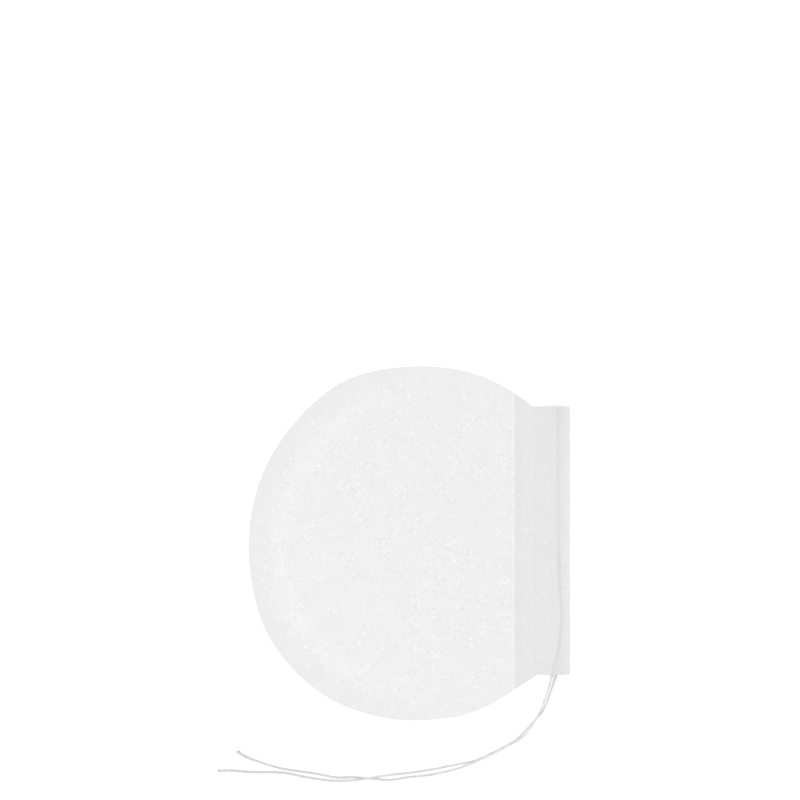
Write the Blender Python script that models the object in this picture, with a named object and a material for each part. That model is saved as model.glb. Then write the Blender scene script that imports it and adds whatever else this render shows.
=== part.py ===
"""Round paper tea filter bag with a drawstring hem, empty and lying flat.

The bag is two die-cut sheets of filter paper, heat-sealed to each other round the rim. The mouth edge of
each sheet is turned in and bonded, which leaves a channel, and one cotton thread runs down the back
channel, turns inside the far end and comes back through the front one.

Metres, +Z up. The origin is the centre of the disc on the underside of the back sheet, and +X points to
the mouth.
"""

import math

import bmesh
import bpy
from mathutils import Vector

for left_over in list(bpy.data.objects):
    bpy.data.objects.remove(left_over, do_unlink=True)

MM = 0.001

# Outline, as the die cuts it
BODY_RADIUS = 45.0 * MM
CLOSED_END_DEPTH = 43.9 * MM  # from the centre to the edge opposite the mouth
TAB_WIDTH = 68.6 * MM  # across the mouth
TAB_SHIFT = 0.5 * MM  # the tab's middle, off the disc's centre line
CORNER_FILLET = 1.2 * MM  # where the tab meets the disc

# Paper and hem
PAPER = 0.12 * MM
CHANNEL_DEPTH = 8.9 * MM  # from the bond to the mouth fold
BOND_WIDTH = 5.0 * MM  # the flap's glued band, up to its raw edge
STRING_ZONE = 5.1 * MM  # how far from the mouth fold the thread may lie, so the hem is full height there
RAMP = 3.0 * MM  # over which the front sheet comes up onto its flap's raw edge
SEAL_WIDTH = 4.0 * MM  # the pressed band round the rim
PILLOW = 1.5 * MM  # how far the front sheet stands up inside the seal
CUT_OVERRUN = 1.0 * MM  # how far the cutters run past the paper

# Thread
STRING = 0.5 * MM
STRING_ROOM = 0.2 * MM  # free height over the thread in its channel
SEAT_GAP = 0.3 * MM  # between pieces that rest on each other
TURN_INSET = 1.0 * MM  # from the tab's end to the thread's turn
TURN_SPREAD = 1.4 * MM  # between the two strands, across, where they turn
TURN_FROM_MOUTH = 3.0 * MM
TURN_RUN_IN = 1.5 * MM  # the straight stretch on each side of the turn
OVERLAY_GAP = 0.1 * MM  # between two strands, one laid on the other
LIFT = 0.04 * MM  # the thread's clearance over the table

# Smoothness
RIM_STEP = math.radians(3)
BODY_CELL = 3.0 * MM
RISE_STEPS = 10
FOLD_STEPS = 10
FILLET_STEPS = 4
TURN_STEPS = 8
CURVE_STEP = 0.5 * MM
LONGEST_STEP = 8.0 * MM
LARGEST_TURN = math.radians(6)
SHARPEST_SMOOTH = math.radians(30)
WELD = 0.001 * MM  # corners nearer than this are one corner

# Worked out from those
tab_top = TAB_SHIFT + TAB_WIDTH / 2
tab_bottom = TAB_SHIFT - TAB_WIDTH / 2
bond_x = math.sqrt(BODY_RADIUS**2 - (TAB_WIDTH / 2) ** 2)
mouth_x = bond_x + CHANNEL_DEPTH
raw_edge_x = bond_x - BOND_WIDTH
ramp_x = raw_edge_x - RAMP
channel_rise = CHANNEL_DEPTH - STRING_ZONE
web_start = -CLOSED_END_DEPTH - BODY_CELL
web_half_width = BODY_RADIUS + BODY_CELL
channel_height = SEAT_GAP + STRING + STRING_ROOM
hem_height = channel_height + 2 * PAPER
fold_radius = hem_height / 2
fold_x = mouth_x - fold_radius
hem_pitch = hem_height + SEAT_GAP  # from the back hem up to the front one
bonded_pitch = 2 * PAPER + SEAT_GAP
back_string_z = PAPER + SEAT_GAP + STRING / 2
front_string_z = hem_pitch + back_string_z

parts = bpy.data.collections.new("round_tea_bag")
cutters = bpy.data.collections.new("cutters")
bpy.context.scene.collection.children.link(parts)
bpy.context.scene.collection.children.link(cutters)


def finish(name, colour, roughness):
    """A plain material for one piece."""
    material = bpy.data.materials.new(name)
    material.use_nodes = True
    shader = material.node_tree.nodes["Principled BSDF"]
    shader.inputs["Base Color"].default_value = (*colour, 1.0)
    shader.inputs["Roughness"].default_value = roughness
    shader.inputs["Metallic"].default_value = 0.0
    return material


def flat_curve(name, loops, half_depth):
    """A filled 2D curve of closed outlines, the later ones being holes, as thick as twice half_depth."""
    curve = bpy.data.curves.new(name, "CURVE")
    curve.dimensions = "2D"
    curve.fill_mode = "BOTH"
    curve.extrude = half_depth
    for loop in loops:
        spline = curve.splines.new("POLY")
        spline.points.add(len(loop) - 1)
        for point, (x, y) in zip(spline.points, loop):
            point.co = (x, y, 0.0, 1.0)
        spline.use_cyclic_u = True
    return bpy.data.objects.new(name, curve)


def made_mesh(curve_object, collection):
    """The curve's evaluated shape as a closed mesh object in its place, and the curve removed."""
    name = curve_object.name
    collection.objects.link(curve_object)
    bpy.context.view_layer.update()
    evaluated = curve_object.evaluated_get(bpy.context.evaluated_depsgraph_get())
    mesh = bpy.data.meshes.new_from_object(evaluated)
    place = curve_object.matrix_world.copy()
    bpy.data.objects.remove(curve_object, do_unlink=True)
    shape = bmesh.new()
    shape.from_mesh(mesh)
    bmesh.ops.remove_doubles(shape, verts=shape.verts, dist=WELD)
    bmesh.ops.recalc_face_normals(shape, faces=shape.faces)
    shape.to_mesh(mesh)
    shape.free()
    mesh.materials.clear()
    made = bpy.data.objects.new(name, mesh)
    made.matrix_world = place
    collection.objects.link(made)
    return made


def as_cutter(cutter):
    cutter.hide_render = True
    cutter.display_type = "WIRE"
    return cutter


def boolean(target, cutter, operation):
    modifier = target.modifiers.new(f"{operation.lower()}_{cutter.name}", "BOOLEAN")
    modifier.operation = operation
    modifier.object = cutter
    modifier.solver = "EXACT"


def corner_fillet(tab_y):
    """The concave arc between the disc and one end of the tab, from the disc to the tab."""
    side = math.copysign(1, tab_y)
    across = tab_y + side * CORNER_FILLET
    along = math.sqrt((BODY_RADIUS + CORNER_FILLET) ** 2 - across**2)
    touch = math.atan2(abs(across), along)
    arc = []
    for i in range(FILLET_STEPS + 1):
        swing = touch + (math.pi / 2 - touch) * i / FILLET_STEPS
        arc.append((along - CORNER_FILLET * math.cos(swing), across - side * CORNER_FILLET * math.sin(swing)))
    return arc


def die_outline():
    """The die's closed line, from the tab's lower end round the mouth, the disc and back."""
    upper = corner_fillet(tab_top)
    lower = corner_fillet(tab_bottom)
    first = math.atan2(upper[0][1], upper[0][0])
    last = 2 * math.pi + math.atan2(lower[0][1], lower[0][0])
    steps = round((last - first) / RIM_STEP)
    disc = []
    for i in range(1, steps):
        angle = first + (last - first) * i / steps
        depth = BODY_RADIUS if math.cos(angle) > 0 else CLOSED_END_DEPTH
        disc.append((depth * math.cos(angle), BODY_RADIUS * math.sin(angle)))
    reach = mouth_x + CUT_OVERRUN
    return [*lower, (reach, tab_bottom), (reach, tab_top), *upper[::-1], *disc]


def eased(share):
    return (1 - math.cos(math.pi * share)) / 2


def rise_points(low, high, inset):
    """The side view of a layer that lifts from height low at the bond to high, both at their mid-paper.

    inset moves the line off the layer's middle by that much of its own thickness, square to the slope."""
    points = []
    for i in range(RISE_STEPS + 1):
        share = i / RISE_STEPS
        slope = (high - low) * math.pi / 2 * math.sin(math.pi * share) / channel_rise
        height = low + (high - low) * eased(share)
        points.append((bond_x + channel_rise * share, height + inset * math.hypot(1, slope)))
    return points


def fold_points(centre_z, radius):
    """The turn at the mouth, from the underside up to the top."""
    return [
        (
            fold_x + radius * math.sin(math.pi * i / FOLD_STEPS),
            centre_z - radius * math.cos(math.pi * i / FOLD_STEPS),
        )
        for i in range(FOLD_STEPS + 1)
    ]


# Back sheet: it lies flat, and its flap is turned up and over the thread
half_paper = PAPER / 2
top = hem_height - half_paper
back_flap = rise_points(1.5 * PAPER, top, half_paper)
back_flap_inside = rise_points(1.5 * PAPER, top, -half_paper)
back_outline = [
    (web_start, 0.0),
    *fold_points(fold_radius, fold_radius),
    *back_flap[::-1],
    (raw_edge_x, 2 * PAPER),
    (raw_edge_x, PAPER),
    (web_start, PAPER),
]
back_channel = [
    (bond_x, PAPER),
    *fold_points(fold_radius, fold_radius - PAPER),
    *back_flap_inside[:0:-1],
]

# Front sheet: it comes up over both hems, and its flap is turned down and under the thread
rim_z = PAPER + SEAT_GAP
flap_z = bonded_pitch
front_top = hem_pitch + hem_height
fold_z = hem_pitch + fold_radius
front_under = rise_points(flap_z + half_paper, hem_pitch + half_paper, -half_paper)
front_under_inside = rise_points(flap_z + half_paper, hem_pitch + half_paper, half_paper)
front_over = rise_points(flap_z + 1.5 * PAPER, front_top - half_paper, half_paper)
front_over_inside = rise_points(flap_z + 1.5 * PAPER, front_top - half_paper, -half_paper)
front_outline = [
    (web_start, rim_z),
    (ramp_x, rim_z),
    (raw_edge_x, flap_z + PAPER),
    (raw_edge_x, flap_z),
    *front_under,
    *fold_points(fold_z, fold_radius),
    *front_over[::-1],
    (raw_edge_x, flap_z + 2 * PAPER),
    (ramp_x, rim_z + PAPER),
    (web_start, rim_z + PAPER),
]
front_channel = [
    (bond_x, flap_z + PAPER),
    *front_under_inside[1:],
    *fold_points(fold_z, fold_radius - PAPER),
    *front_over_inside[:0:-1],
]


def pillow(x, y):
    """How far the empty bag's front sheet stands up at a place inside the seal."""
    inner = BODY_RADIUS - SEAL_WIDTH
    if x < 0:
        depth = CLOSED_END_DEPTH - SEAL_WIDTH
        out = math.hypot(x / depth, y / inner)
    else:
        out = abs(y) / math.sqrt(inner**2 - x**2)
    from_hem = min(1.0, (raw_edge_x - x) / raw_edge_x)
    return PILLOW * max(0.0, 1 - out**2) ** 2 * eased(from_hem)


def cut_body(shape, place, normal):
    """Cut the sheet's body, as far as the flap's raw edge, across one plane."""
    body = [face for face in shape.faces if face.calc_center_median().x < raw_edge_x - WELD]
    edges = list({edge for face in body for edge in face.edges})
    corners = list({vertex for face in body for vertex in face.verts})
    bmesh.ops.bisect_plane(shape, geom=[*body, *edges, *corners], dist=WELD, plane_co=place, plane_no=normal)


def sheet(name, loops):
    """A folded web of paper as long as the die needs, from its side view."""
    web = flat_curve(name, loops, web_half_width)
    web.rotation_euler = (math.pi / 2, 0, 0)
    return made_mesh(web, parts)


back_panel = sheet("back_panel", [back_outline, back_channel])
front_panel = sheet("front_panel", [front_outline, front_channel])

# The front sheet's body is cut into cells and stands up as a low pillow. Its mesh still lies as the side
# view was drawn: height along its Y, and across the bag along its -Z.
shape = bmesh.new()
shape.from_mesh(front_panel.data)
columns = math.ceil((ramp_x - web_start) / BODY_CELL)
for column in range(1, columns):
    cut_x = web_start + (ramp_x - web_start) * column / columns
    cut_body(shape, Vector((cut_x, 0, 0)), Vector((1, 0, 0)))
rows = math.ceil(2 * web_half_width / BODY_CELL)
for row in range(1, rows):
    cut_z = web_half_width * (2 * row / rows - 1)
    cut_body(shape, Vector((0, 0, cut_z)), Vector((0, 0, 1)))
for vertex in shape.verts:
    if vertex.co.x < raw_edge_x:
        vertex.co.y += pillow(vertex.co.x, -vertex.co.z)
shape.to_mesh(front_panel.data)
shape.free()

# One die cuts both sheets
die = made_mesh(flat_curve("die", [die_outline()], front_top), cutters)
boolean(back_panel, as_cutter(die), "INTERSECT")
boolean(front_panel, die, "INTERSECT")

# Both flaps stop short of the far end over the channel, so the thread can pass between the hems
turn_radius = math.hypot(TURN_SPREAD, front_string_z - back_string_z) / 2
turn_y = tab_top - TURN_INSET - turn_radius
slot_width = TURN_SPREAD + STRING + 2 * SEAT_GAP
slot_end = tab_top + CUT_OVERRUN
bpy.ops.mesh.primitive_cube_add(size=1)
slot = bpy.context.object
slot.name = "turn_slot"
slot.location = (mouth_x - TURN_FROM_MOUTH, (turn_y + slot_end) / 2, (back_string_z + front_string_z) / 2)
slot.scale = (slot_width, slot_end - turn_y, front_string_z - back_string_z)
for collection in list(slot.users_collection):
    collection.objects.unlink(slot)
cutters.objects.link(slot)
boolean(back_panel, as_cutter(slot), "DIFFERENCE")
boolean(front_panel, slot, "DIFFERENCE")

# Thread. Each half is listed from the turn to its free end, in millimetres from the corner where the
# mouth fold meets the tab's lower end: X from the fold, Y from that end, and the height over the table.
on_table = (STRING / 2 + LIFT) / MM
on_strand = on_table + (STRING + OVERLAY_GAP) / MM
front_z = front_string_z / MM
back_z = back_string_z / MM

FRONT_HALF = [
    (-3.0, 44.6, front_z),
    (-2.9, 34.6, front_z),
    (-2.6, 24.6, front_z),
    (-2.3, 19.7, front_z),
    (-2.0, 16.2, front_z),
    (-2.4, 10.7, front_z),
    (-3.1, 6.1, front_z),
    (-3.9, 3.0, front_z),
    (-4.5, 0.0, front_z),
    (-5.0, -1.7, front_z - 0.1),
    (-5.9, -4.5, on_strand + 0.8),
    (-6.8, -7.3, on_strand + 0.2),
    (-8.1, -10.1, on_strand),
    (-9.8, -12.9, on_strand),
    (-10.9, -14.6, on_strand),
    (-12.8, -16.2, on_strand),
    (-15.7, -17.8, on_strand),
    (-20.2, -20.2, on_strand),
    (-24.1, -22.0, on_strand - 0.05),
    (-28.1, -23.6, on_table),
    (-32.2, -24.6, on_table),
    (-35.5, -25.3, on_table),
    (-41.0, -25.9, on_table),
    (-45.9, -26.6, on_table),
    (-50.2, -26.3, on_table),
    (-54.6, -25.9, on_table),
    (-59.6, -25.9, on_table),
    (-64.6, -25.0, on_table),
    (-69.4, -24.3, on_table),
    (-74.1, -23.5, on_table),
    (-78.8, -22.1, on_table),
    (-82.3, -20.8, on_table),
    (-85.0, -19.3, on_table),
]
BACK_HALF = [
    (-3.2, 44.6, back_z),
    (-3.1, 34.6, back_z),
    (-2.8, 24.6, back_z),
    (-2.5, 19.7, back_z),
    (-2.2, 16.2, back_z),
    (-2.5, 10.7, back_z),
    (-2.8, 6.1, back_z),
    (-3.0, 3.0, back_z),
    (-3.5, 0.0, back_z),
    (-4.2, -2.2, back_z - 0.1),
    (-5.1, -4.7, on_table + 0.1),
    (-5.9, -7.2, on_table),
    (-6.9, -9.1, on_table),
    (-8.7, -11.2, on_table),
    (-11.0, -13.6, on_table),
    (-13.4, -16.1, on_table),
    (-16.7, -18.1, on_table),
    (-20.3, -20.0, on_table),
    (-23.5, -21.4, on_table),
    (-26.5, -22.2, on_table),
    (-30.1, -22.9, on_table),
    (-34.1, -23.7, on_table),
    (-39.0, -24.5, on_table),
    (-44.9, -25.2, on_table + 0.15),
    (-48.8, -25.7, on_strand - 0.05),
    (-51.6, -26.2, on_strand),
    (-54.4, -26.6, on_strand - 0.05),
    (-58.8, -26.9, on_table + 0.1),
    (-63.5, -26.5, on_table),
    (-68.2, -25.7, on_table),
    (-72.9, -24.8, on_table),
    (-77.6, -24.6, on_table),
    (-81.2, -24.6, on_table),
    (-85.9, -24.2, on_table),
    (-89.9, -24.3, on_table),
]


def placed(half):
    return [Vector((mouth_x + x * MM, tab_bottom + y * MM, z * MM)) for x, y, z in half]


def thread_turn():
    """The half circle in which the thread goes from the back hem to the front one."""
    middle = Vector((mouth_x - TURN_FROM_MOUTH, turn_y, (back_string_z + front_string_z) / 2))
    across = Vector((TURN_SPREAD, 0, front_string_z - back_string_z)) / 2
    ahead = Vector((0, turn_radius, 0))
    run_in = Vector((0, -TURN_RUN_IN, 0))
    turn = [
        middle - across * math.cos(math.pi * i / TURN_STEPS) + ahead * math.sin(math.pi * i / TURN_STEPS)
        for i in range(TURN_STEPS + 1)
    ]
    return [middle - across + run_in, *turn, middle + across + run_in]


def smooth_line(points):
    """A centripetal Catmull-Rom curve through the points."""
    ends = [2 * points[0] - points[1], *points, 2 * points[-1] - points[-2]]
    line = []
    for i in range(1, len(ends) - 2):
        p = ends[i - 1 : i + 3]
        t = [0.0]
        for a, b in zip(p, p[1:]):
            t.append(t[-1] + math.sqrt((b - a).length))
        steps = max(1, round((p[2] - p[1]).length / CURVE_STEP))
        for k in range(steps):
            s = t[1] + (t[2] - t[1]) * k / steps
            a = [p[j].lerp(p[j + 1], (s - t[j]) / (t[j + 1] - t[j])) for j in range(3)]
            b = [a[j].lerp(a[j + 1], (s - t[j]) / (t[j + 2] - t[j])) for j in range(2)]
            line.append(b[0].lerp(b[1], (s - t[1]) / (t[2] - t[1])))
    return [*line, points[-1].copy()]


def thinned(line):
    """The line with points only as near each other as its bends need."""
    kept = [line[0]]
    heading = line[1] - line[0]
    for before, here, after in zip(line, line[1:], line[2:]):
        turned = (after - here).angle(heading)
        if turned > LARGEST_TURN or (here - kept[-1]).length > LONGEST_STEP:
            kept.append(here)
            heading = after - here
    return [*kept, line[-1]]


route = [*placed(BACK_HALF)[::-1], *thread_turn(), *placed(FRONT_HALF)]
thread_line = thinned(smooth_line(route))

thread = bpy.data.curves.new("drawstring", "CURVE")
thread.dimensions = "3D"
thread.bevel_depth = STRING / 2
thread.bevel_resolution = 2
thread.use_fill_caps = True
run = thread.splines.new("POLY")
run.points.add(len(thread_line) - 1)
for point, place in zip(run.points, thread_line):
    point.co = (*place, 1.0)
drawstring = bpy.data.objects.new("drawstring", thread)
parts.objects.link(drawstring)

back_panel.data.materials.append(finish("filter_paper_back", (0.86, 0.86, 0.87), 0.9))
front_panel.data.materials.append(finish("filter_paper_front", (0.87, 0.87, 0.88), 0.9))
thread.materials.append(finish("cotton_thread", (0.68, 0.68, 0.68), 0.95))
for smooth in (back_panel, front_panel):
    smooth.data.shade_smooth()
    smooth.data.set_sharp_from_angle(angle=SHARPEST_SMOOTH)
run.use_smooth = True
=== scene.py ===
"""The looks of a round paper tea bag with a drawstring hem, empty and lying flat on a white table.

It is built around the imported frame, in metres: the origin is the disc's centre on the table, +X points to
the mouth and +Z up.
"""

import math
import random

import bmesh
import bpy
from mathutils import Matrix, Vector, noise


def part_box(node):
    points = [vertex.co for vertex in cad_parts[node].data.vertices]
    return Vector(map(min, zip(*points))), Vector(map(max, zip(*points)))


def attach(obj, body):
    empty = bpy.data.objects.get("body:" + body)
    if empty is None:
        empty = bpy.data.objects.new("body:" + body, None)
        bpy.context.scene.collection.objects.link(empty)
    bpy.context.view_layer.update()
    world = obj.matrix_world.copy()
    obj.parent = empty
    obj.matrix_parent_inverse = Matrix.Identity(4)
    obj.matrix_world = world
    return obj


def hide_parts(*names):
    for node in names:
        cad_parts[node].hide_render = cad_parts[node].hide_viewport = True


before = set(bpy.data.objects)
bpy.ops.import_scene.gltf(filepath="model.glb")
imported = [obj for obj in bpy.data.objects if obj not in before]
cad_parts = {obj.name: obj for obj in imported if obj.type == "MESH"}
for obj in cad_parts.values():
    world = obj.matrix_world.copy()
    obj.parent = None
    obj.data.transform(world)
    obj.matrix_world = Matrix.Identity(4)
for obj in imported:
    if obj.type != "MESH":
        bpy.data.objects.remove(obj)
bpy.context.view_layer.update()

# Camera
# It looks straight down with a long lens, +Y up in the picture, and the bag low in the frame.
MM = 0.001
PHOTO_WIDTH = 204 * MM  # what the picture's width covers on the table
PHOTO_CENTRE = (-5.23 * MM, 36.5 * MM)
LENS = 400.0
SENSOR = 36.0

camera_data = bpy.data.cameras.new("camera")
camera_data.lens = LENS
camera_data.sensor_width = SENSOR
camera_data.clip_start = 10 * MM
camera = bpy.data.objects.new("camera", camera_data)
camera.location = (*PHOTO_CENTRE, PHOTO_WIDTH * LENS / SENSOR)
bpy.context.scene.collection.objects.link(camera)
bpy.context.scene.camera = camera

# Drawstring
# One soft cotton thread of three twisted plies, cut with scissors at both ends. It runs along the back
# hem, turns round inside the far end of the mouth and comes back along the front hem, and its two ends
# lie loose on the table.
STRING = 0.5 * MM
SWELL = 1.2  # the plies' soft outside, as a multiple of the thread's own thickness
PLIES = 3
TWIST = 1.9 * MM  # along the thread, for one full turn of its plies
WANDER = 0.7  # radians by which the twist runs ahead or behind
WANDER_LENGTH = 4 * MM
SLUB_LENGTH = 1.1 * MM  # between a ply's thick and thin places
PLY_FULLNESS = 1.04
PLY_UNEVENNESS = 0.12
LAY_UNEVENNESS = 0.08  # how much further out a ply lies where it is thick

BACK_RUN = 40 * MM  # before each cut end, where the twist has come undone
FRONT_RUN = 7 * MM
LOOSE_CURVE = 1.5  # above 1, most of the spread is near the cut
BACK_SPREAD = 0.26  # how much wider the thread is at its cut ends
FRONT_SPREAD = 0.85
BLOOM = 0.8  # how much of that spread the plies fill by growing thicker
TIP = 0.7 * MM  # the plies stop this far before the longest fibres

RING_STEP = 0.18 * MM  # between the places along the thread at which its plies are worked out
CURVE_STEP = 0.5 * MM
HIDDEN_START = 2.0 * MM  # how far inside the hem each loose end begins

front_low, front_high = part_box("front_panel")
back_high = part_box("back_panel")[1]
mouth_x = front_high.x
TAB_TOP = 34.8 * MM  # where the mouth's tab ends, in Y
TAB_BOTTOM = -33.8 * MM

# The route, as the CAD thread has it: each half from the turn to its free end, in millimetres from the
# corner where the mouth fold meets the tab's lower end, and the height over the table
ON_TABLE = 0.29
ON_STRAND = 0.89
FRONT_Z = 2.21
BACK_Z = 0.67
TURN_SPREAD = 1.4
TURN_INSET = 1.0
TURN_FROM_MOUTH = 3.0
TURN_RUN_IN = 1.5
TURN_STEPS = 8
EXIT_POINT = 8  # the point of each half at which it leaves the hem

FRONT_HALF = [
    (-3.0, 44.6, FRONT_Z),
    (-2.9, 34.6, FRONT_Z),
    (-2.6, 24.6, FRONT_Z),
    (-2.3, 19.7, FRONT_Z),
    (-2.0, 16.2, FRONT_Z),
    (-2.4, 10.7, FRONT_Z),
    (-3.1, 6.1, FRONT_Z),
    (-3.9, 3.0, FRONT_Z),
    (-4.5, 0.0, FRONT_Z),
    (-5.0, -1.7, FRONT_Z - 0.1),
    (-5.9, -4.5, ON_STRAND + 0.8),
    (-6.8, -7.3, ON_STRAND + 0.2),
    (-8.1, -10.1, ON_STRAND),
    (-9.8, -12.9, ON_STRAND),
    (-10.9, -14.6, ON_STRAND),
    (-12.8, -16.2, ON_STRAND),
    (-15.7, -17.8, ON_STRAND),
    (-20.2, -20.2, ON_STRAND),
    (-24.1, -22.0, ON_STRAND - 0.05),
    (-28.1, -23.6, ON_TABLE),
    (-32.2, -24.6, ON_TABLE),
    (-35.5, -25.3, ON_TABLE),
    (-41.0, -25.9, ON_TABLE),
    (-45.9, -26.6, ON_TABLE),
    (-50.2, -26.3, ON_TABLE),
    (-54.6, -25.9, ON_TABLE),
    (-59.6, -25.9, ON_TABLE),
    (-64.6, -25.0, ON_TABLE),
    (-69.4, -24.3, ON_TABLE),
    (-74.1, -23.5, ON_TABLE),
    (-78.8, -22.1, ON_TABLE),
    (-82.3, -20.8, ON_TABLE),
    (-85.0, -19.3, ON_TABLE),
]
BACK_HALF = [
    (-3.2, 44.6, BACK_Z),
    (-3.1, 34.6, BACK_Z),
    (-2.8, 24.6, BACK_Z),
    (-2.5, 19.7, BACK_Z),
    (-2.2, 16.2, BACK_Z),
    (-2.5, 10.7, BACK_Z),
    (-2.8, 6.1, BACK_Z),
    (-3.0, 3.0, BACK_Z),
    (-3.5, 0.0, BACK_Z),
    (-4.2, -2.2, BACK_Z - 0.1),
    (-5.1, -4.7, ON_TABLE + 0.1),
    (-5.9, -7.2, ON_TABLE),
    (-6.9, -9.1, ON_TABLE),
    (-8.7, -11.2, ON_TABLE),
    (-11.0, -13.6, ON_TABLE),
    (-13.4, -16.1, ON_TABLE),
    (-16.7, -18.1, ON_TABLE),
    (-20.3, -20.0, ON_TABLE),
    (-23.5, -21.4, ON_TABLE),
    (-26.5, -22.2, ON_TABLE),
    (-30.1, -22.9, ON_TABLE),
    (-34.1, -23.7, ON_TABLE),
    (-39.0, -24.5, ON_TABLE),
    (-44.9, -25.2, ON_TABLE + 0.15),
    (-48.8, -25.7, ON_STRAND - 0.05),
    (-51.6, -26.2, ON_STRAND),
    (-54.4, -26.6, ON_STRAND - 0.05),
    (-58.8, -26.9, ON_TABLE + 0.1),
    (-63.5, -26.5, ON_TABLE),
    (-68.2, -25.7, ON_TABLE),
    (-72.9, -24.8, ON_TABLE),
    (-77.6, -24.6, ON_TABLE),
    (-81.2, -24.6, ON_TABLE),
    (-85.9, -24.2, ON_TABLE),
    (-89.9, -24.3, ON_TABLE),
]


def placed(half):
    return [Vector((mouth_x + x * MM, TAB_BOTTOM + y * MM, z * MM)) for x, y, z in half]


def thread_turn():
    """The half circle in which the thread goes from the back hem to the front one."""
    radius = math.hypot(TURN_SPREAD, FRONT_Z - BACK_Z) / 2
    middle = Vector(
        (mouth_x - TURN_FROM_MOUTH * MM, TAB_TOP - (TURN_INSET + radius) * MM, (BACK_Z + FRONT_Z) / 2 * MM)
    )
    across = Vector((TURN_SPREAD, 0, FRONT_Z - BACK_Z)) * MM / 2
    ahead = Vector((0, radius * MM, 0))
    run_in = Vector((0, -TURN_RUN_IN * MM, 0))
    turn = [
        middle - across * math.cos(math.pi * i / TURN_STEPS) + ahead * math.sin(math.pi * i / TURN_STEPS)
        for i in range(TURN_STEPS + 1)
    ]
    return [middle - across + run_in, *turn, middle + across + run_in]


def smooth_line(points):
    """A centripetal Catmull-Rom curve through the points."""
    ends = [2 * points[0] - points[1], *points, 2 * points[-1] - points[-2]]
    line = []
    for i in range(1, len(ends) - 2):
        p = ends[i - 1 : i + 3]
        t = [0.0]
        for a, b in zip(p, p[1:]):
            t.append(t[-1] + math.sqrt((b - a).length))
        steps = max(1, round((p[2] - p[1]).length / CURVE_STEP))
        for k in range(steps):
            s = t[1] + (t[2] - t[1]) * k / steps
            a = [p[j].lerp(p[j + 1], (s - t[j]) / (t[j + 1] - t[j])) for j in range(3)]
            b = [a[j].lerp(a[j + 1], (s - t[j]) / (t[j + 2] - t[j])) for j in range(2)]
            line.append(b[0].lerp(b[1], (s - t[1]) / (t[2] - t[1])))
    return [*line, points[-1].copy()]


def evenly(line, step):
    """The line again, with points at equal distances of about step."""
    along = [0.0]
    for a, b in zip(line, line[1:]):
        along.append(along[-1] + (b - a).length)
    count = round(along[-1] / step)
    points = []
    span = 0
    for i in range(count + 1):
        at = along[-1] * i / count
        while span < len(line) - 2 and along[span + 1] < at:
            span += 1
        points.append(line[span].lerp(line[span + 1], (at - along[span]) / (along[span + 1] - along[span])))
    return points


def rings(line):
    """Each point of the line with two directions square to the line that turn with it and don't twist."""
    heading = (line[1] - line[0]).normalized()
    side = heading.orthogonal().normalized()
    found = []
    for i, point in enumerate(line):
        onward = (line[min(i + 1, len(line) - 1)] - line[max(i - 1, 0)]).normalized()
        side.rotate(heading.rotation_difference(onward))
        heading = onward
        found.append((point, side.copy(), heading.cross(side)))
    return found


thread_line = evenly(smooth_line([*placed(BACK_HALF)[::-1], *thread_turn(), *placed(FRONT_HALF)]), RING_STEP)
thread_rings = rings(thread_line)
last_ring = len(thread_line) - 1
# Three plies that touch each other just fill the round of the whole thread
ply_radius = SWELL * STRING / 2 / (1 + 2 / math.sqrt(3))
ply_offset = SWELL * STRING / 2 - ply_radius


def loosened(index):
    """How far the plies have come apart, from 1 along the thread to more at its cut ends."""
    if index < last_ring / 2:
        spread = BACK_SPREAD
        share = index * RING_STEP / BACK_RUN
    else:
        spread = FRONT_SPREAD
        share = (last_ring - index) * RING_STEP / FRONT_RUN
    return 1 + spread * max(0.0, 1 - share) ** LOOSE_CURVE


# How many times the plies have gone round by each ring, which is less often where they lie loose
turns = [0.0]
for index in range(1, last_ring + 1):
    turns.append(turns[-1] + RING_STEP / (TWIST * loosened(index) ** 2))


def around(index, angle, distance):
    """A point beside the thread's centre line."""
    point, side, up = thread_rings[index]
    return point + (side * math.cos(angle) + up * math.sin(angle)) * distance


def ply_angle(index, ply):
    wander = WANDER * noise.noise(Vector((index * RING_STEP / WANDER_LENGTH, 0.0, 7.0)))
    return 2 * math.pi * (turns[index] + ply / PLIES) + wander


def add_run(curve, points, radii):
    run = curve.splines.new("POLY")
    run.points.add(len(points) - 1)
    for target, place, radius in zip(run.points, points, radii):
        target.co = (*place, 1.0)
        target.radius = radius
    run.use_smooth = True


def tubes(runs, roundness):
    """The mesh of round tubes along several runs of points, each with its own radii in metres."""
    curve = bpy.data.curves.new("tubes", "CURVE")
    curve.dimensions = "3D"
    curve.bevel_depth = 1.0
    curve.bevel_resolution = roundness
    curve.use_fill_caps = True
    for points, radii in runs:
        add_run(curve, points, radii)
    drawn = bpy.data.objects.new("tubes", curve)
    bpy.context.scene.collection.objects.link(drawn)
    bpy.context.view_layer.update()
    mesh = bpy.data.meshes.new_from_object(drawn.evaluated_get(bpy.context.evaluated_depsgraph_get()))
    bpy.data.objects.remove(drawn, do_unlink=True)
    return mesh


def ply_runs(first, last):
    """The three plies of a stretch of thread, a little uneven, as spun cotton is."""
    runs = []
    for ply in range(PLIES):
        points = []
        radii = []
        for index in range(first, last + 1):
            uneven = noise.noise(Vector((index * RING_STEP / SLUB_LENGTH, ply * 9.0, 3.0)))
            radius = ply_radius * loosened(index) ** BLOOM * (PLY_FULLNESS + PLY_UNEVENNESS * uneven)
            offset = ply_offset * loosened(index) * (1 + LAY_UNEVENNESS * uneven)
            place = around(index, ply_angle(index, ply), offset)
            place.z = max(place.z, radius)
            points.append(place)
            radii.append(radius)
        runs.append((points, radii))
    return runs


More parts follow.
